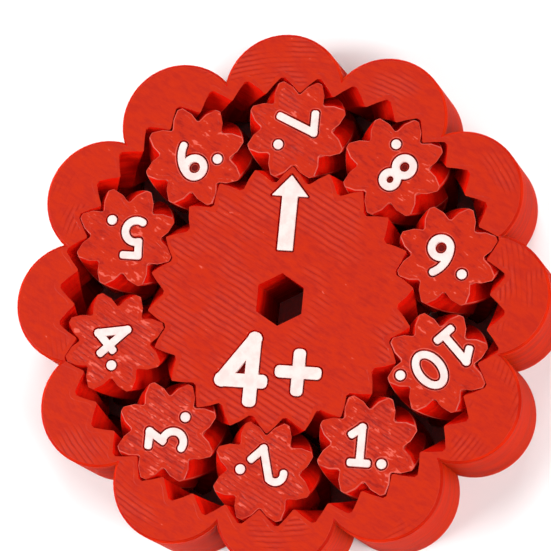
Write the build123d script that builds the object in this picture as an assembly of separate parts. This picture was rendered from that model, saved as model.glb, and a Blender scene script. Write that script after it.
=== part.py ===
from build123d import *
import math
import os

# Number spinner: a herringbone planetary gear bearing in one flat block.  A scalloped ring holds ten
# numbered planet gears, and they carry a large sun gear that bears an arrow.  Nothing else holds the
# gears: the V of each tooth stops them sliding out, and turning the sun sends the planets round the
# ring past the arrow.  Origin at the centre of the bottom face, +Z out of the numbered face, and +Y
# through one of the scallops.  Millimetres and degrees.

# Gear train
MODULE = 5 / 3
PRESSURE_ANGLE = math.radians(45)
PLANET_TEETH = 8
SUN_TEETH = 22
RING_TEETH = SUN_TEETH + 2 * PLANET_TEETH
PLANETS = 10
ORBIT_RADIUS = MODULE * (SUN_TEETH + PLANET_TEETH) / 2
STATION_ANGLE = 360 / PLANETS
TIP_RISE = 0.85          # planet tooth tip above its pitch circle
ROOT_DROP = 1.35         # planet tooth root below its pitch circle
TIP_CLEARANCE = 0.22     # gap between a tooth tip and the root that it runs in
FLANK_GAP = 0.075        # each flank of every gear stands back by this from the ideal tooth
FLANK_STEPS = 2

# Body
THICKNESS = 15.0
HALF = THICKNESS / 2
SCALLOPS = 12
OUTER_RADIUS = 39.2
SCALLOP_RADIUS = 8.95
SCALLOP_CENTRE = OUTER_RADIUS - SCALLOP_RADIUS
RIM_CHAMFER = 0.4
HEX_FLATS = 6.7          # socket for a 1/4 inch hexagonal bit

# Rest position: the whole gear train stands turned by this from the scallops
TRAIN_TURN = -4.5
ARROW_ANGLE = 90.0       # where the arrow points, before that turn
ARROW_STATION = 7        # the number that it points at

# Marks: white inlays that sit in pockets a little wider than they are
MARK_DEPTH = 0.8
MARK_GAP = 0.25
DIGIT_HEIGHT = 6.2
DIGIT_STROKE = 1.08
DIGIT_SHIFT = -1.05      # a digit stands left of its gear's centre, to leave room for the dot
DOT_RADIUS = 0.7
DOT_PLACE = (2.3, -2.5)
TEN_PLACES = {"1": -3.35, "0": 1.5}
TEN_DOT_PLACE = (5.2, -2.2)
PEN_CORNER = 0.38        # corner radius of a straight line's ends, as a share of its width
ARROW_TAIL = 7.2
ARROW_NECK = 15.2
ARROW_TIP = 18.3
ARROW_SHAFT = 2.3
ARROW_HEAD = 5.4
BIG_HEIGHT = 10.8
BIG_STROKE = 1.95
BIG_PLACE = (-4.6, -10.4)
PLUS_SIZE = 6.8
PLUS_STROKE = 1.75
PLUS_PLACE = (3.7, -10.4)

# A round core inside the sun gear, shut in all over, which turns with the ring of planets
CORE_INNER = 7.0
CORE_OUTER = 13.0
CORE_HEIGHT = 4.0
CORE_FIT = 0.05


def involute(angle):
    return math.tan(angle) - angle


def tooth_half_angle(teeth, radius, flank_gap):
    """Half the angle that a tooth spans at a radius, in radians."""
    pitch_radius = MODULE * teeth / 2
    flank_angle = math.acos(pitch_radius * math.cos(PRESSURE_ANGLE) / radius)
    at_pitch = math.pi / (2 * teeth) - flank_gap / pitch_radius
    return at_pitch + involute(PRESSURE_ANGLE) - involute(flank_angle)


def gear_outline(teeth, tip_radius, root_radius, first_tooth, flank_gap):
    """Closed outline of an external gear with a tooth centred on the angle first_tooth."""
    step = (tip_radius - root_radius) / FLANK_STEPS
    radii = [root_radius + step * i for i in range(FLANK_STEPS + 1)]
    flank = [(radius, tooth_half_angle(teeth, radius, flank_gap)) for radius in radii]
    points = []
    for tooth in range(teeth):
        middle = math.radians(first_tooth + 360 * tooth / teeth)
        rising = [(radius, middle - half) for radius, half in flank]
        falling = [(radius, middle + half) for radius, half in reversed(flank)]
        points += [(r * math.cos(a), r * math.sin(a)) for r, a in rising + falling]
    return make_face(Polyline(*points, close=True)).face()


def herringbone(outline, teeth, hand):
    """Twist an outline by one tooth pitch up to mid height, and back again above it."""
    twist = hand * 360 / teeth
    centre = (0, 0, 0)
    lower = Solid.extrude_linear_with_rotation(outline, centre, (0, 0, HALF), twist)
    upper = Solid.extrude_linear_with_rotation(outline, centre, (0, 0, HALF), -twist)
    turned = upper.rotate(Axis.Z, twist)
    return lower + turned.moved(Location((0, 0, HALF)))


def bar(start, end, width):
    """A straight line drawn with a square pen whose corners are rounded."""
    run = Vector(*end) - Vector(*start)
    slope = math.degrees(math.atan2(run.Y, run.X))
    middle = Vector(*start) + run / 2
    line = RectangleRounded(run.length + width, width, PEN_CORNER * width, rotation=slope)
    return Pos(middle.X, middle.Y) * line


def ring_stroke(centre, radius, width):
    return Pos(*centre) * (Circle(radius + width / 2) - Circle(radius - width / 2))


def glyph(digit, height, pen, spare):
    """One digit, drawn about its own centre, and grown all round by spare."""
    top = (height - pen) / 2
    width = pen + 2 * spare

    def at(x, y):
        return (x * top, y * top)

    def line(*places):
        pairs = zip(places, places[1:])
        return Sketch() + [bar(at(*start), at(*end), width) for start, end in pairs]

    def arc(start, middle, end):
        return SlotArc(ThreePointArc(at(*start), at(*middle), at(*end)), width)

    if digit == "0":
        outer = Ellipse(0.63 * top + width / 2, top + width / 2)
        return outer - Ellipse(0.63 * top - width / 2, top - width / 2)
    if digit == "1":
        return line((-0.5, 0.58), (0.06, 1), (0.06, -1)) + line((-0.44, -1), (0.48, -1))
    if digit == "2":
        return arc((-0.4, 0.84), (0.14, 0.98), (0.42, 0.5)) + line((0.42, 0.5), (-0.44, -1), (0.46, -1))
    if digit == "3":
        return line((-0.42, 1), (0.38, 1), (-0.12, 0.2)) + arc((-0.12, 0.2), (0.46, -0.4), (-0.46, -0.92))
    if digit == "4":
        return line((0.34, -1), (0.34, 1), (-0.64, -0.38), (0.66, -0.38))
    if digit == "5":
        bowl = arc((-0.36, 0.2), (0.47, -0.4), (-0.5, -0.92))
        return line((0.44, 1), (-0.4, 1), (-0.36, 0.2)) + bowl
    if digit == "6":
        tail = arc((-0.54, -0.38), (-0.3, 0.36), (0.34, 0.94))
        return ring_stroke(at(0, -0.46), 0.54 * top, width) + tail
    if digit == "7":
        return line((-0.54, 1), (0.54, 1), (-0.32, -1))
    if digit == "8":
        small = ring_stroke(at(0, 0.58), 0.42 * top, width)
        return small + ring_stroke(at(0, -0.5), 0.5 * top, width)
    return glyph("6", height, pen, spare).rotate(Axis.Z, 180)


def planet_mark(number, spare):
    """A planet's number with a full stop after it, grown all round by spare."""
    places = TEN_PLACES if number == 10 else {str(number): DIGIT_SHIFT}
    dot_place = TEN_DOT_PLACE if number == 10 else DOT_PLACE
    mark = Pos(*dot_place) * Circle(DOT_RADIUS + spare)
    for digit, x in places.items():
        mark += Pos(x, 0) * glyph(digit, DIGIT_HEIGHT, DIGIT_STROKE, spare)
    return mark


def arrow_mark(spare):
    """The arrow on the sun gear, pointing along +Y."""
    half_shaft = ARROW_SHAFT / 2
    half_head = ARROW_HEAD / 2
    side = [(half_shaft, ARROW_TAIL), (half_shaft, ARROW_NECK), (half_head, ARROW_NECK)]
    mirrored = [(-x, y) for x, y in reversed(side)]
    arrow = make_face(Polyline(*side, (0, ARROW_TIP), *mirrored, close=True))
    return offset(arrow, spare) if spare else arrow


def four_plus_mark(spare):
    """The numeral and the plus sign on the sun gear, below its socket."""
    four = Pos(*BIG_PLACE) * glyph("4", BIG_HEIGHT, BIG_STROKE, spare)
    reach = (PLUS_SIZE - PLUS_STROKE) / 2
    level = bar((-reach, 0), (reach, 0), PLUS_STROKE + 2 * spare)
    return four + Pos(*PLUS_PLACE) * (level + level.rotate(Axis.Z, 90))


def inlay(sketch):
    return Pos(0, 0, THICKNESS - MARK_DEPTH) * extrude(sketch, MARK_DEPTH)


def pocket(sketch):
    """Cutter for a pocket, running past the top face so that no skin is left."""
    return Pos(0, 0, THICKNESS - MARK_DEPTH) * extrude(sketch, 2 * MARK_DEPTH)


def core_ring(spare):
    """The sun gear's core, or with spare the space that it turns in."""
    face = Circle(CORE_OUTER + spare) - Circle(CORE_INNER - spare)
    height = CORE_HEIGHT + 2 * spare
    return Pos(0, 0, HALF - height / 2) * extrude(face, height)


def make_ring():
    """Scalloped ring with internal teeth."""
    root = ORBIT_RADIUS + MODULE * PLANET_TEETH / 2 + TIP_RISE + TIP_CLEARANCE
    tip = ORBIT_RADIUS + MODULE * PLANET_TEETH / 2 - ROOT_DROP + TIP_CLEARANCE
    outline = Circle(SCALLOP_CENTRE)
    outline += PolarLocations(SCALLOP_CENTRE, SCALLOPS) * Circle(SCALLOP_RADIUS)
    blank = extrude(outline, THICKNESS)
    rims = blank.edges().group_by(Axis.Z)
    blank = chamfer(rims[0] + rims[-1], RIM_CHAMFER)
    hole = gear_outline(RING_TEETH, root, tip, ARROW_ANGLE + 180 / RING_TEETH, -FLANK_GAP)
    return blank - herringbone(hole, RING_TEETH, 1).rotate(Axis.Z, TRAIN_TURN)


def make_sun():
    """Sun gear with the hexagonal socket, the pockets of its marks and the space of its core."""
    reach = ORBIT_RADIUS - MODULE * PLANET_TEETH / 2
    tip = reach + ROOT_DROP - TIP_CLEARANCE
    root = reach - TIP_RISE - TIP_CLEARANCE
    gear = herringbone(gear_outline(SUN_TEETH, tip, root, ARROW_ANGLE, FLANK_GAP), SUN_TEETH, -1)
    gear -= extrude(RegularPolygon(HEX_FLATS / math.sqrt(3), 6, rotation=30), THICKNESS)
    gear -= core_ring(CORE_FIT)
    return gear - pocket(arrow_mark(MARK_GAP)) - pocket(four_plus_mark(MARK_GAP))


def make_planet(number):
    """Planet gear about its own axis, with its number upright."""
    pitch_radius = MODULE * PLANET_TEETH / 2
    tip = pitch_radius + TIP_RISE
    root = pitch_radius - ROOT_DROP
    outline = gear_outline(PLANET_TEETH, tip, root, 180 / PLANET_TEETH, FLANK_GAP)
    return herringbone(outline, PLANET_TEETH, 1) - pocket(planet_mark(number, MARK_GAP))


def at_station(shape, number):
    """Roll a planet from the arrow's station round to its own: the further it goes, the more it turns."""
    stations = ARROW_STATION - number
    roll = STATION_ANGLE * (SUN_TEETH + PLANET_TEETH) / PLANET_TEETH
    turned = shape.rotate(Axis.Z, roll * (1 - number))
    angle = math.radians(ARROW_ANGLE + STATION_ANGLE * stations)
    place = (ORBIT_RADIUS * math.cos(angle), ORBIT_RADIUS * math.sin(angle), 0)
    return turned.moved(Location(place))


def make_train():
    """Everything that the ring holds, with the arrow along +Y."""
    train = {"sun_gear": make_sun(), "sun_core": core_ring(0)}
    train["arrow_inlay"] = inlay(arrow_mark(0))
    train["four_plus_inlay"] = inlay(four_plus_mark(0))
    for number in range(1, PLANETS + 1):
        train[f"planet_gear_{number}"] = at_station(make_planet(number), number)
        train[f"number_{number}_inlay"] = at_station(inlay(planet_mark(number, 0)), number)
    return train


os.makedirs("parts", exist_ok=True)
export_step(make_ring(), "parts/ring_gear.step")
for node, part in make_train().items():
    export_step(part.rotate(Axis.Z, TRAIN_TURN), f"parts/{node}.step")
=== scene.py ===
import math
from collections import namedtuple

import bpy
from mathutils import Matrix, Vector


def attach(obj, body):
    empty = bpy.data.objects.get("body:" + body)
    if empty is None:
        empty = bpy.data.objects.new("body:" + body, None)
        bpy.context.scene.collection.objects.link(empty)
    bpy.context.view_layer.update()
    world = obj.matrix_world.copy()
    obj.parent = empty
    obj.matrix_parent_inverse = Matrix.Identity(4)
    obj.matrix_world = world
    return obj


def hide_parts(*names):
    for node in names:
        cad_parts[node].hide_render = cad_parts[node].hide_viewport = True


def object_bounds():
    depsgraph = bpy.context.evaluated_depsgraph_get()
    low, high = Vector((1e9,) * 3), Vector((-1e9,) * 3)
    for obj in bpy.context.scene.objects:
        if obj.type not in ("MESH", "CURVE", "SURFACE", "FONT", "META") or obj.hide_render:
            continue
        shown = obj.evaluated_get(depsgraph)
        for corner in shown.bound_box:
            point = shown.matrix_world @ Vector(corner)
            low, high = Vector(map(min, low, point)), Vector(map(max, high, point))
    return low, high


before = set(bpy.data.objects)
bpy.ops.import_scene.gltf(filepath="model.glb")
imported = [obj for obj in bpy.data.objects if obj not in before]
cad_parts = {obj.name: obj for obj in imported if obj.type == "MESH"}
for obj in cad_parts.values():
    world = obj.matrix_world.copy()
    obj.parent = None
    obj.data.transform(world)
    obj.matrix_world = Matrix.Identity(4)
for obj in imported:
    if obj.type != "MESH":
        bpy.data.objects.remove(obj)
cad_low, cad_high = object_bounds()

# Looks of the number spinner: a red printed herringbone gear bearing with white inlaid numbers.
# Every piece starts as a copy of its CAD node, so the shapes and places are the frame's.  Each gets
# its finish here: the rounded bead that a printer leaves along an edge, the lines of the top skin,
# the layers up the walls, and the white marks.  Metres.

MM = 0.001
PLANETS = 10
TOP = cad_high.z
BOTTOM = cad_low.z

# Teeth of each outline, and half way between their tips and roots
RING_TEETH, RING_MIDDLE = 38, 31.64 * MM
SUN_TEETH, SUN_MIDDLE = 22, 18.36 * MM
PLANET_TEETH, PLANET_MIDDLE = 8, 6.42 * MM
TOOTH_SWING = 1.1 * MM
INNER_REACH = 32.8 * MM          # the ring's teeth end here
OUTER_START = 33.4 * MM          # and its outer wall is beyond this

# The lines of the top skin
LINE_ANGLE = math.radians(-33)   # they run this way on every piece, as it lies at rest
LINE_WANDER = 0.45 * MM          # how far a line strays from straight
LINE_HEIGHT = 0.03 * MM
BROAD_SHARE, FINE_SHARE = 1.1, 0.2   # how high the lines are, and the finer ones that lie on them
LINE_LEVEL = -0.85               # where the furrows between them lie
LINE_REST = 0.15                 # how much of the lines is left where they sink into the skin
FURROW_SHADE = 0.7                # how dark the painted shade in the furrows is
CREST_HIGHLIGHT = 0.16                # how pink the painted highlight along the top of the lines is

# The bead along the outline of a gear
OUTLINE_BEAD = 0.9 * MM          # the skin's lines stop this far inside the outline
BEAD_BLUR = 0.12 * MM
BEAD_RISE = 0.8                  # how far the bead stands above the lines, in line heights

# Specks: grain that is higher than the limit shows as one, a glint of painted highlight
SPECK_LIMIT = 0.76
AMOUNT_PULL = 0.16               # how far a finish with all its specks lowers the limit
CROWD_PULL = 0.22                # how far the limit falls from the sparsest place to the fullest
SPECK_STRETCH = (2.6, 1, 1)      # specks are drawn out along the lines
# how pink each painted glint is
GLINT_PINK = 0.75

# The layers up the walls, and the glow of light that soaks into them
LAYER = 0.2 * MM
LAYER_WANDER = 0.25 * LAYER      # how far a layer strays from level
LAYER_RELIEF, BAND_RELIEF = 0.5, 1.2     # in line heights
BAND_STRETCH = (12, 12, 1)       # bands are drawn out along the layers
GROOVE_SHADE = 0.3                # how dark the painted shade between two layers is
GLOW_SHARE = 0.5                 # how much of the light soaks in
GLOW_DEPTH = 8.0 * MM
GLOW_REACH = (1.0, 0.08, 0.04)   # how much of the depth each colour of light reaches

# Other reliefs and roundings
EDGE_RELIEF = 0.08 * MM
MARK_RELIEF = 0.06 * MM
EDGE_ROUND = 0.15 * MM
MARK_ROUND = 0.12 * MM
ROUND_STEPS = 2
LOOP_AREA = 1.6 * MM * MM        # the middle of a number's loop that is smaller than this is sunk
LOOP_SINK = 0.5 * MM

# How a CAD mesh is read
WELD = 0.002 * MM                # vertices closer than this are one
NEAR = 0.01 * MM                 # heights and radii that differ by less than this are the same
FLAT = math.radians(0.6)         # faces that meet flatter than this are one face
SHARP = math.radians(40)         # faces that meet sharper than this get a rounded edge
SMOOTH = math.radians(35)        # faces that meet flatter than this are shaded as one curve
FACING = 0.99                    # a face that looks up or down at least this squarely is flat

# How shiny each finish is
SKIN_GLOSS = 0.16
EDGE_GLOSS = 0.25
WALL_GLOSS = 0.015
POCKET_GLOSS = 0.1
MARK_GLOSS = 0.2
FLOOR_GLOSS = 0.2

# How rough each finish is: a pair goes from the low places of its noise to the high ones
SKIN_ROUGHNESS = (0.46, 0.34)
EDGE_ROUGHNESS = (0.30, 0.45)
WALL_ROUGHNESS = (0.50, 0.62)
MARK_ROUGHNESS = (0.36, 0.50)
POCKET_ROUGHNESS = 0.6
FLOOR_ROUGHNESS = 0.9

# A noise: its waves per metre, how many finer ones it carries, and how strong those are
Noise = namedtuple("Noise", "waves detail roughness", defaults=(2.0, 0.5))
LINE_NOISE = Noise(300.0, 3.0)
COVER_NOISE = Noise(105.0, 2.5, 0.55)
GRAIN_NOISE = Noise(1500.0, 2.5, 0.6)
CROWD_NOISE = Noise(170.0)
EDGE_NOISE = Noise(300.0, 3.0, 0.6)
LAYER_NOISE = Noise(160.0)
BAND_NOISE = Noise(1100.0, roughness=0.6)
POCKET_NOISE = Noise(700.0)
MARK_NOISE = Noise(620.0, 3.0, 0.6)
FLOOR_NOISE = Noise(8.0)

# The values of a noise, or of a height, between which one look gives way to another
NOISE_SPAN = (0.30, 0.70)        # a noise is seldom outside these
HUE_SPAN = (0.32, 0.68)          # from red to orange red, by the grain
MOTTLE_SPAN = (0.30, 0.46)       # from painted shade in the grain's low places to plain red, by the grain
SHEEN_SPAN = (0.35, 0.70)        # from duller to shinier skin, by the grain
EDGE_SPAN = (0.36, 0.62)         # from red to painted pink highlight along the edges
BAND_SPAN = (0.38, 0.62)         # from painted shade to painted sheen up the walls
MARK_SPAN = (0.38, 0.66)         # from white to its shade
COVER_SPAN = (0.92, 1.12)        # from sunk lines to full ones, by a noise and the cover added up
SPECK_SPAN = (0.0, 0.07)         # from no speck to a full one, by how far the grain is over its limit
FURROW_SPAN = (-0.75, -0.15)     # from painted shade in the furrows to plain red, by the height of the lines
CREST_SPAN = (0.1, 0.4)          # from plain red to a painted pink highlight on the crests
GROOVE_SPAN = (-1.0, 0.2)        # from painted shade in the grooves to plain red, by the height of the layers

# Colours, linear
RED = (0.360, 0.0125, 0.0034, 1)
ORANGE_RED = (0.410, 0.0185, 0.0042, 1)
# painted shade: darkens the furrows, the grooves between layers, the grain's low places and the pockets
PAINTED_SHADE_RED = (0.210, 0.0045, 0.0020, 1)
# painted highlight: on the tops of the lines, on the specks and along the edges
HIGHLIGHT_PINK = (0.600, 0.1000, 0.0700, 1)
WALL_RED = (0.480, 0.0180, 0.0020, 1)        # the ring's outer wall
# the same red in painted shade, for the darker bands
WALL_SHADE = (0.330, 0.0090, 0.0015, 1)
BOUNCE_GLOW_RED = (0.620, 0.0060, 0.0010, 1)       # all the walls inside it, brighter and deeper red: a painted glow of light bouncing between red walls
# the same glow in painted shade, for the darker bands
BOUNCE_GLOW_SHADE = (0.470, 0.0035, 0.0008, 1)
# painted shade, nearly black, in the sunk middles of a number's loops
POCKET_SHADE_RED = (0.060, 0.0030, 0.0040, 1)
WHITE = (0.750, 0.550, 0.520, 1)
WHITE_SHADE = (0.670, 0.470, 0.445, 1)
FLOOR_WHITE = (0.930, 0.930, 0.930, 1)
FLOOR_SHADE = (0.910, 0.910, 0.910, 1)
RIM_HIGHLIGHT = (0.0, 0.12)           # how strong the painted pink highlight on the ring's edges is, from patch to patch
EDGE_HIGHLIGHT = (0.1, 0.7)           # and those of the gears

# Stage
FLOOR_SIZE = 3.0
FLOOR_DROP = 0.02 * MM              # keeps the floor out of the undersides that rest on it
LEAN_RIGHT = math.radians(12.0)     # the view leans from straight above to the right and the front
LEAN_FRONT = math.radians(10.5)
CAMERA_DISTANCE = 0.58
CAMERA_LENS = 263.5
AIM = Vector((-0.7 * MM, 3.5 * MM, TOP))
ROOM_LIGHT = 0.07
LIGHT_SIZE = 0.5
LIGHTS = {
    "left": ((-0.60, -0.20, 0.42), 7.7),
    "right": ((0.60, -0.30, 0.45), 7.7),
    "back": ((0.05, 0.70, 0.42), 5.3),
}

# Material slots of a printed piece
WALL, EDGE, SKIN, POCKET = range(4)

# A gear's place, the angle of one of its teeth, their number, and the middle radius of their wave
Gear = namedtuple("Gear", "centre tooth_angle teeth middle")

# A top skin's line width, how much of it shows lines, its specks of painted glint, the painted shade
# that mottles the low places of its grain, and how high its grain stands, in line heights
Finish = namedtuple("Finish", "pitch cover specks mottle relief")
RING_FINISH = Finish(0.75 * MM, cover=0.48, specks=0.2, mottle=0.08, relief=0.8)
SUN_FINISH = Finish(0.86 * MM, cover=0.56, specks=0.3, mottle=0.2, relief=1.0)
PLAIN_FINISH = Finish(0.66 * MM, cover=0.45, specks=0.75, mottle=0.5, relief=4.0)
ROUGH_FINISH = Finish(0.66 * MM, cover=0.6, specks=0.95, mottle=0.6, relief=5.0)
ROUGH_PLANETS = (1, 2, 3, 4)


# ---------------------------------------------------------------- shader parts

# What a group puts out that gives a whole look
LOOK = [("Colour", "NodeSocketColor"), ("Roughness", "NodeSocketFloat"), ("Height", "NodeSocketFloat")]


def new_group(name, inputs, outputs):
    """A shader node group.  An input is (name, type, default) and an output is (name, type)."""
    group = bpy.data.node_groups.new(name, "ShaderNodeTree")
    for label, kind, value in inputs:
        socket = group.interface.new_socket(label, in_out="INPUT", socket_type=kind)
        if value is not None:
            socket.default_value = value
    for label, kind in outputs:
        group.interface.new_socket(label, in_out="OUTPUT", socket_type=kind)
    start = group.nodes.new("NodeGroupInput")
    end = group.nodes.new("NodeGroupOutput")
    return group, start.outputs, end.inputs


def plug(tree, socket, value):
    """Set a socket to a plain value, or link it to another socket."""
    if isinstance(value, bpy.types.NodeSocket):
        tree.links.new(value, socket)
    else:
        socket.default_value = value


def calc(tree, operation, *values):
    node = tree.nodes.new("ShaderNodeMath")
    node.operation = operation
    for socket, value in zip(node.inputs, values):
        plug(tree, socket, value)
    return node.outputs[0]


def split(tree, vector):
    node = tree.nodes.new("ShaderNodeSeparateXYZ")
    tree.links.new(vector, node.inputs[0])
    return node.outputs


def flat_length(tree, x, y):
    return calc(tree, "SQRT", calc(tree, "MULTIPLY_ADD", x, x, calc(tree, "MULTIPLY", y, y)))


def noise(tree, place, kind):
    node = tree.nodes.new("ShaderNodeTexNoise")
    node.inputs["Scale"].default_value = kind.waves
    node.inputs["Detail"].default_value = kind.detail
    node.inputs["Roughness"].default_value = kind.roughness
    tree.links.new(place, node.inputs["Vector"])
    return node.outputs["Fac"]


def spread(tree, value, span, result=(0.0, 1.0)):
    """Go smoothly from one result to the other as the value crosses the span, and hold them beyond."""
    node = tree.nodes.new("ShaderNodeMapRange")
    node.interpolation_type = "SMOOTHSTEP"
    node.inputs["From Min"].default_value = span[0]
    node.inputs["From Max"].default_value = span[1]
    plug(tree, node.inputs["To Min"], result[0])
    plug(tree, node.inputs["To Max"], result[1])
    tree.links.new(value, node.inputs["Value"])
    return node.outputs["Result"]


def blend_colours(tree, share, first, second):
    """The first colour where share is 0, and the second where it is 1."""
    node = tree.nodes.new("ShaderNodeMix")
    node.data_type = "RGBA"
    sockets = {socket.identifier: socket for socket in [*node.inputs, *node.outputs]}
    plug(tree, sockets["Factor_Float"], share)
    plug(tree, sockets["A_Color"], first)
    plug(tree, sockets["B_Color"], second)
    return sockets["Result_Color"]


def turned(tree, vector, angle=0.0, centre=(0, 0, 0), stretch=(1, 1, 1)):
    """The same place measured from centre along axes turned by angle, then stretched."""
    node = tree.nodes.new("ShaderNodeMapping")
    node.vector_type = "TEXTURE"
    node.inputs["Location"].default_value = centre
    node.inputs["Rotation"].default_value = (0, 0, angle)
    node.inputs["Scale"].default_value = stretch
    tree.links.new(vector, node.inputs["Vector"])
    return node.outputs[0]


def make_outline_group():
    """Where a skin's lines lie in a gear's outline, and how far each place is from its centre.

    The teeth are taken as a wave about the Middle radius, with a tooth at angle zero.  Field is 1
    inside the bead along that wave where Side is 1, and outside it where Side is -1.
    """
    group, given, result = new_group(
        "tooth outline",
        [
            ("Place", "NodeSocketVector", None),
            ("Teeth", "NodeSocketFloat", PLANET_TEETH),
            ("Middle", "NodeSocketFloat", PLANET_MIDDLE),
            ("Side", "NodeSocketFloat", 1.0),
        ],
        [("Field", "NodeSocketFloat"), ("Radius", "NodeSocketFloat")],
    )
    x, y, _ = split(group, given["Place"])
    radius = flat_length(group, x, y)
    turn = calc(group, "MULTIPLY", calc(group, "ARCTAN2", y, x), given["Teeth"])
    edge = calc(group, "MULTIPLY_ADD", calc(group, "COSINE", turn), TOOTH_SWING, given["Middle"])
    inside = calc(group, "MULTIPLY", calc(group, "SUBTRACT", edge, radius), given["Side"])
    field = spread(group, inside, (OUTLINE_BEAD - BEAD_BLUR, OUTLINE_BEAD + BEAD_BLUR))
    group.links.new(field, result["Field"])
    group.links.new(radius, result["Radius"])
    return group


def make_lines_group():
    """Lines laid side by side.  Travel is the distance across them.

    Ridge is their height, high along the middle of a line.  Here and there they sink into the skin.
    """
    group, given, result = new_group(
        "laid lines",
        [
            ("Place", "NodeSocketVector", None),
            ("Travel", "NodeSocketFloat", 0.0),
            ("Pitch", "NodeSocketFloat", SUN_FINISH.pitch),
            ("Cover", "NodeSocketFloat", SUN_FINISH.cover),
        ],
        [("Ridge", "NodeSocketFloat")],
    )
    wander = noise(group, given["Place"], LINE_NOISE)
    travel = calc(group, "MULTIPLY_ADD", wander, LINE_WANDER, given["Travel"])
    wave = calc(group, "MULTIPLY", calc(group, "DIVIDE", travel, given["Pitch"]), math.tau)
    broad = calc(group, "ABSOLUTE", calc(group, "SINE", calc(group, "MULTIPLY", wave, 0.5)))
    fine = calc(group, "ABSOLUTE", calc(group, "SINE", wave))
    ridge = calc(group, "MULTIPLY_ADD", broad, BROAD_SHARE, LINE_LEVEL)
    ridge = calc(group, "MULTIPLY_ADD", fine, FINE_SHARE, ridge)
    cloud = noise(group, given["Place"], COVER_NOISE)
    shown = spread(group, calc(group, "ADD", cloud, given["Cover"]), COVER_SPAN, (LINE_REST, 1.0))
    group.links.new(calc(group, "MULTIPLY", ridge, shown), result["Ridge"])
    return group


def make_speck_group():
    """Small specks of painted glint, drawn out a little along the lines."""
    group, given, result = new_group(
        "painted glint specks",
        [
            ("Along Place", "NodeSocketVector", None),
            ("Place", "NodeSocketVector", None),
            ("Amount", "NodeSocketFloat", SUN_FINISH.specks),
        ],
        [("Speck", "NodeSocketFloat"), ("Grain", "NodeSocketFloat")],
    )
    grain = noise(group, given["Along Place"], GRAIN_NOISE)
    crowd = noise(group, given["Place"], CROWD_NOISE)
    limit = calc(group, "MULTIPLY_ADD", given["Amount"], -AMOUNT_PULL, SPECK_LIMIT + CROWD_PULL / 2)
    limit = calc(group, "MULTIPLY_ADD", crowd, -CROWD_PULL, limit)
    over = calc(group, "SUBTRACT", grain, limit)
    group.links.new(spread(group, over, SPECK_SPAN), result["Speck"])
    group.links.new(grain, result["Grain"])
    return group


def make_skin_group():
    """Skin of red plastic, from the height of its lines, the field that they fill, and its grain, with
    painted shade in the furrows and the grain's low places and painted pink highlights.
    """
    group, given, result = new_group(
        "printed skin",
        [
            ("Ridge", "NodeSocketFloat", 0.0),
            ("Field", "NodeSocketFloat", 1.0),
            ("Grain", "NodeSocketFloat", 0.5),
            ("Speck", "NodeSocketFloat", 0.0),
            ("Mottle", "NodeSocketFloat", SUN_FINISH.mottle),
            ("Relief", "NodeSocketFloat", SUN_FINISH.relief),
        ],
        LOOK,
    )
    grain = given["Grain"]
    ridge = calc(group, "MULTIPLY", given["Ridge"], given["Field"])
    # painted shade in the furrows and the grain's low places, painted pink highlight on the tops and
    # the specks
    furrow_shade = spread(group, ridge, FURROW_SPAN, (FURROW_SHADE, 0.0))
    crest_highlight = spread(group, ridge, CREST_SPAN, (0.0, CREST_HIGHLIGHT))
    mottle = spread(group, grain, MOTTLE_SPAN, (given["Mottle"], 0.0))
    glint = calc(group, "MULTIPLY", given["Speck"], GLINT_PINK)
    colour = blend_colours(group, spread(group, grain, HUE_SPAN), RED, ORANGE_RED)
    for share, tint in ((furrow_shade, PAINTED_SHADE_RED), (crest_highlight, HIGHLIGHT_PINK), (mottle, PAINTED_SHADE_RED), (glint, HIGHLIGHT_PINK)):
        colour = blend_colours(group, share, colour, tint)
    height = calc(group, "MULTIPLY_ADD", given["Field"], -BEAD_RISE, ridge)
    height = calc(group, "MULTIPLY_ADD", grain, given["Relief"], height)
    group.links.new(colour, result["Colour"])
    group.links.new(spread(group, grain, SHEEN_SPAN, SKIN_ROUGHNESS), result["Roughness"])
    group.links.new(height, result["Height"])
    return group


def make_edge_group():
    """The very edge of red plastic.  It has a painted pink highlight in patches, from Least to Most."""
    group, given, result = new_group(
        "painted edge highlight",
        [
            ("Place", "NodeSocketVector", None),
            ("Least", "NodeSocketFloat", EDGE_HIGHLIGHT[0]),
            ("Most", "NodeSocketFloat", EDGE_HIGHLIGHT[1]),
        ],
        LOOK,
    )
    patches = noise(group, given["Place"], EDGE_NOISE)
    share = spread(group, patches, EDGE_SPAN, (given["Least"], given["Most"]))
    group.links.new(blend_colours(group, share, RED, HIGHLIGHT_PINK), result["Colour"])
    group.links.new(spread(group, patches, NOISE_SPAN, EDGE_ROUGHNESS), result["Roughness"])
    group.links.new(patches, result["Height"])
    return group


def new_material(name, gloss):
    material = bpy.data.materials.new(name)
    material.use_nodes = True
    tree = material.node_tree
    shader = tree.nodes["Principled BSDF"]
    shader.inputs["Specular IOR Level"].default_value = gloss
    place = tree.nodes.new("ShaderNodeTexCoord")
    return material, tree, shader.inputs, place.outputs["Object"]


def add_bump(tree, inputs, height, distance):
    node = tree.nodes.new("ShaderNodeBump")
    node.inputs["Distance"].default_value = distance
    tree.links.new(height, node.inputs["Height"])
    tree.links.new(node.outputs["Normal"], inputs["Normal"])


def add_group(tree, group, **values):
    node = tree.nodes.new("ShaderNodeGroup")
    node.node_tree = group
    for label, value in values.items():
        plug(tree, node.inputs[label.replace("_", " ")], value)
    return node.outputs


def add_look(tree, inputs, look, distance):
    """Link what a group of the LOOK kind puts out to the shader."""
    tree.links.new(look["Colour"], inputs["Base Color"])
    tree.links.new(look["Roughness"], inputs["Roughness"])
    add_bump(tree, inputs, look["Height"], distance)


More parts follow.
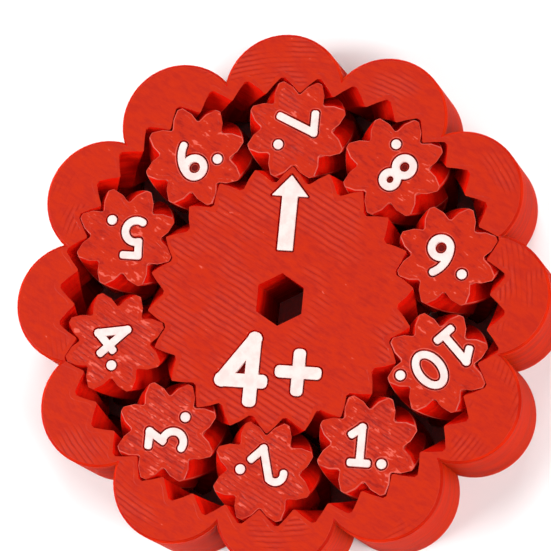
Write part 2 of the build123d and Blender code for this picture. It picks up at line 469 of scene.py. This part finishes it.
def skin_red(name, gear, finish, rings=False):
    """Top skin of red plastic: lines along LINE_ANGLE, or rings about the gear's centre, and specks of
    painted glint.
    """
    material, tree, inputs, place = new_material(name, SKIN_GLOSS)
    along = turned(tree, place, LINE_ANGLE, stretch=SPECK_STRETCH)
    on_gear = turned(tree, place, gear.tooth_angle, gear.centre)
    side = -1.0 if rings else 1.0
    outline = add_group(tree, OUTLINE, Place=on_gear, Teeth=gear.teeth, Middle=gear.middle, Side=side)
    travel = outline["Radius"] if rings else split(tree, turned(tree, place, LINE_ANGLE))["Y"]
    lines = add_group(tree, LINES, Place=place, Travel=travel, Pitch=finish.pitch, Cover=finish.cover)
    glints = add_group(tree, SPECKS, Along_Place=along, Place=place, Amount=finish.specks)
    skin = add_group(
        tree,
        PRINTED_SKIN,
        Ridge=lines["Ridge"],
        Field=outline["Field"],
        Grain=glints["Grain"],
        Speck=glints["Speck"],
        Mottle=finish.mottle,
        Relief=finish.relief,
    )
    add_look(tree, inputs, skin, LINE_HEIGHT)
    return material


# The edges' material, with a painted pink highlight.
def edge_red(name, highlight_range):
    material, tree, inputs, place = new_material(name, EDGE_GLOSS)
    edge = add_group(tree, PAINTED_EDGE_HIGHLIGHT, Place=place, Least=highlight_range[0], Most=highlight_range[1])
    add_look(tree, inputs, edge, EDGE_RELIEF)
    return material


def wall_red(name):
    """Upright faces: one thin layer on another, a little uneven, with painted shade between layers,
    bands of painted shade and sheen, and a painted glow inside the ring.
    """
    material, tree, inputs, place = new_material(name, WALL_GLOSS)
    inputs["Subsurface Weight"].default_value = GLOW_SHARE
    inputs["Subsurface Radius"].default_value = GLOW_REACH
    inputs["Subsurface Scale"].default_value = GLOW_DEPTH
    x, y, height = split(tree, place)
    outer = spread(tree, flat_length(tree, x, y), (INNER_REACH, OUTER_START))
    wander = noise(tree, place, LAYER_NOISE)
    travel = calc(tree, "MULTIPLY_ADD", wander, LAYER_WANDER, height)
    layers = calc(tree, "SINE", calc(tree, "MULTIPLY", travel, math.tau / LAYER))
    band = noise(tree, turned(tree, place, stretch=BAND_STRETCH), BAND_NOISE)
    # the walls inside the ring take the painted glow of bounced light
    bright = blend_colours(tree, outer, BOUNCE_GLOW_RED, WALL_RED)
    shade = blend_colours(tree, outer, BOUNCE_GLOW_SHADE, WALL_SHADE)
    # bands of painted sheen and painted shade along the layers
    base = blend_colours(tree, spread(tree, band, BAND_SPAN), shade, bright)
    # painted shade between the layers
    groove_shade = spread(tree, layers, GROOVE_SPAN, (GROOVE_SHADE, 0.0))
    tree.links.new(blend_colours(tree, groove_shade, base, PAINTED_SHADE_RED), inputs["Base Color"])
    tree.links.new(spread(tree, band, NOISE_SPAN, WALL_ROUGHNESS), inputs["Roughness"])
    relief = calc(tree, "MULTIPLY", layers, LAYER_RELIEF)
    relief = calc(tree, "MULTIPLY_ADD", band, BAND_RELIEF, relief)
    add_bump(tree, inputs, relief, LINE_HEIGHT)
    return material


def pocket_shade(name):
    """The sunk middle of a closed loop in a number, in painted shade that is nearly black."""
    material, tree, inputs, place = new_material(name, POCKET_GLOSS)
    patches = noise(tree, place, POCKET_NOISE)
    tree.links.new(blend_colours(tree, patches, POCKET_SHADE_RED, PAINTED_SHADE_RED), inputs["Base Color"])
    inputs["Roughness"].default_value = POCKET_ROUGHNESS
    return material


def mark_white(name):
    """White plastic with a pinkish tint."""
    material, tree, inputs, place = new_material(name, MARK_GLOSS)
    patches = noise(tree, place, MARK_NOISE)
    colour = blend_colours(tree, spread(tree, patches, MARK_SPAN), WHITE, WHITE_SHADE)
    tree.links.new(colour, inputs["Base Color"])
    tree.links.new(spread(tree, patches, NOISE_SPAN, MARK_ROUGHNESS), inputs["Roughness"])
    add_bump(tree, inputs, patches, MARK_RELIEF)
    return material


def floor_pale(name):
    material, tree, inputs, place = new_material(name, FLOOR_GLOSS)
    patches = noise(tree, place, FLOOR_NOISE)
    tree.links.new(blend_colours(tree, patches, FLOOR_WHITE, FLOOR_SHADE), inputs["Base Color"])
    inputs["Roughness"].default_value = FLOOR_ROUGHNESS
    return material


# ---------------------------------------------------------------- pieces

def make_active(piece):
    bpy.ops.object.select_all(action="DESELECT")
    piece.select_set(True)
    bpy.context.view_layer.objects.active = piece


def copy_node(node, name):
    """A piece of its own with a CAD node's mesh, welded, with its flat faces whole."""
    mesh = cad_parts[node].data.copy()
    mesh.name = name
    mesh.materials.clear()
    piece = bpy.data.objects.new(name, mesh)
    bpy.context.scene.collection.objects.link(piece)
    make_active(piece)
    bpy.ops.object.mode_set(mode="EDIT")
    bpy.ops.mesh.select_mode(type="FACE")
    bpy.ops.mesh.select_all(action="SELECT")
    bpy.ops.mesh.remove_doubles(threshold=WELD)
    bpy.ops.mesh.customdata_custom_splitnormals_clear()
    bpy.ops.mesh.dissolve_limited(angle_limit=FLAT)
    bpy.ops.mesh.select_all(action="DESELECT")
    bpy.ops.object.mode_set(mode="OBJECT")
    return piece


def is_top(face):
    return face.normal.z > FACING and face.center.z > TOP - NEAR


def is_underside(face):
    return face.normal.z < -FACING and face.center.z < BOTTOM + NEAR


def tooth_angle(points, centre, teeth):
    """The angle of one tooth: the points at its tip are the ones that lie farthest out."""
    arms = [Vector((p.x - centre.x, p.y - centre.y)) for p in points]
    reach = max(arm.length for arm in arms)
    turns = [teeth * math.atan2(arm.y, arm.x) for arm in arms if arm.length > reach - NEAR]
    return math.atan2(sum(map(math.sin, turns)), sum(map(math.cos, turns))) / teeth


def middle_of(points):
    """Centre of the box round some points, seen from above."""
    low = Vector((min(p.x for p in points), min(p.y for p in points)))
    high = Vector((max(p.x for p in points), max(p.y for p in points)))
    return (low + high) / 2


def face_reaches(face, corners):
    """Whether some of a face's corners are among the given ones, but not all of them."""
    return 0 < len(corners.intersection(face.vertices)) < len(face.vertices)


def sink_loops(piece):
    """Lower the small islands of top face that the closed loops of a number leave, and give them the
    painted shade.
    """
    tops = [face for face in piece.data.polygons if is_top(face)]
    field = set(max(tops, key=lambda face: face.area).vertices)
    touching = [face for face in tops if face_reaches(face, field)]
    while touching:
        for face in touching:
            field.update(face.vertices)
        touching = [face for face in tops if face_reaches(face, field)]
    for face in tops:
        if face.area < LOOP_AREA and not field.issuperset(face.vertices):
            # the sunk islands take the painted shade
            face.material_index = POCKET
            face.select = True
    make_active(piece)
    bpy.ops.object.mode_set(mode="EDIT")
    bpy.ops.transform.translate(value=(0, 0, -LOOP_SINK))
    bpy.ops.mesh.select_all(action="DESELECT")
    bpy.ops.object.mode_set(mode="OBJECT")


def round_edges(piece, radius, slot=-1):
    bevel = piece.modifiers.new("rounded edges", "BEVEL")
    bevel.width = radius
    bevel.segments = ROUND_STEPS
    bevel.limit_method = "ANGLE"
    bevel.angle_limit = SHARP
    bevel.material = slot
    even = piece.modifiers.new("even shading", "WEIGHTED_NORMAL")
    even.keep_sharp = True
    make_active(piece)
    bpy.ops.object.modifier_apply(modifier=bevel.name)
    bpy.ops.object.shade_smooth_by_angle(angle=SMOOTH)
    bpy.ops.object.modifier_apply(modifier=even.name)


def finish_piece(piece, node, body):
    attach(piece, body)
    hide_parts(node)


def make_printed(node, name, body, edge, skin):
    piece = copy_node(node, name)
    for material in (WALL_PRINT, edge, skin, POCKET_SHADE):
        piece.data.materials.append(material)
    for face in piece.data.polygons:
        face.material_index = SKIN if is_top(face) or is_underside(face) else WALL
    sink_loops(piece)
    round_edges(piece, EDGE_ROUND, EDGE)
    finish_piece(piece, node, body)


def make_mark(node, name, body):
    piece = copy_node(node, name)
    piece.data.materials.append(MARK_WHITE)
    round_edges(piece, MARK_ROUND)
    finish_piece(piece, node, body)


# ---------------------------------------------------------------- stage

def make_floor():
    bpy.ops.object.select_all(action="DESELECT")
    bpy.ops.mesh.primitive_plane_add(size=FLOOR_SIZE, location=(0, 0, BOTTOM - FLOOR_DROP))
    floor = bpy.context.active_object
    floor.name = "floor"
    floor.data.materials.append(floor_pale("pale floor"))


def make_light(name, place, watts):
    lamp = bpy.data.lights.new(name, "AREA")
    lamp.shape = "DISK"
    lamp.size = LIGHT_SIZE
    lamp.energy = watts
    light = bpy.data.objects.new(name, lamp)
    light.location = place
    light.rotation_euler = (-Vector(place)).to_track_quat("-Z", "Y").to_euler()
    bpy.context.scene.collection.objects.link(light)


def make_world(strength):
    world = bpy.data.worlds.new("soft room")
    world.use_nodes = True
    background = world.node_tree.nodes["Background"]
    background.inputs["Color"].default_value = (1, 1, 1, 1)
    background.inputs["Strength"].default_value = strength
    bpy.context.scene.world = world


def make_camera():
    lean = Vector((math.sin(LEAN_RIGHT), -math.sin(LEAN_FRONT), 0))
    lean.z = math.sqrt(1 - lean.length_squared)
    data = bpy.data.cameras.new("camera")
    data.lens = CAMERA_LENS
    camera = bpy.data.objects.new("camera", data)
    camera.location = AIM + lean * CAMERA_DISTANCE
    camera.rotation_euler = Vector((0, 0, 1)).rotation_difference(lean).to_euler()
    bpy.context.scene.collection.objects.link(camera)
    bpy.context.scene.camera = camera


# ---------------------------------------------------------------- making

def gear_of(node, teeth, middle):
    """Find a gear in its CAD node: where it is, and how its teeth lie."""
    points = [corner.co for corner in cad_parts[node].data.vertices if corner.co.z > TOP - NEAR]
    centre = middle_of(points)
    near = [p for p in points if (p.xy - centre).length < middle + TOOTH_SWING + NEAR]
    return Gear((*centre, 0), tooth_angle(near, centre, teeth), teeth, middle)


make_camera()

OUTLINE = make_outline_group()
LINES = make_lines_group()
SPECKS = make_speck_group()
PRINTED_SKIN = make_skin_group()
PAINTED_EDGE_HIGHLIGHT = make_edge_group()
WALL_PRINT = wall_red("red wall")
RIM_RED = edge_red("red rim", RIM_HIGHLIGHT)
EDGE_RED = edge_red("red edge", EDGE_HIGHLIGHT)
POCKET_SHADE = pocket_shade("red pocket shade")
MARK_WHITE = mark_white("white mark")

ring_hole = gear_of("ring_gear", RING_TEETH, RING_MIDDLE)
sun_gear = gear_of("sun_gear", SUN_TEETH, SUN_MIDDLE)
ring_skin = skin_red("red ring top", ring_hole, RING_FINISH, rings=True)
sun_skin = skin_red("red sun top", sun_gear, SUN_FINISH)
make_printed("ring_gear", "ring", "ring", RIM_RED, ring_skin)
make_printed("sun_gear", "sun", "sun", EDGE_RED, sun_skin)
make_mark("arrow_inlay", "arrow", "sun")
make_mark("four_plus_inlay", "four_plus", "sun")

for number in range(1, PLANETS + 1):
    body = f"planet_{number}"
    gear = gear_of(f"planet_gear_{number}", PLANET_TEETH, PLANET_MIDDLE)
    finish = ROUGH_FINISH if number in ROUGH_PLANETS else PLAIN_FINISH
    skin = skin_red(f"red planet top {number}", gear, finish)
    make_printed(f"planet_gear_{number}", body, body, EDGE_RED, skin)
    make_mark(f"number_{number}_inlay", f"number_{number}", body)

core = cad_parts["sun_core"]
core.data.materials.clear()
core.data.materials.append(WALL_PRINT)

make_floor()
make_world(ROOM_LIGHT)
for name, (place, watts) in LIGHTS.items():
    make_light(name, place, watts)
bpy.context.scene.view_settings.view_transform = "Standard"
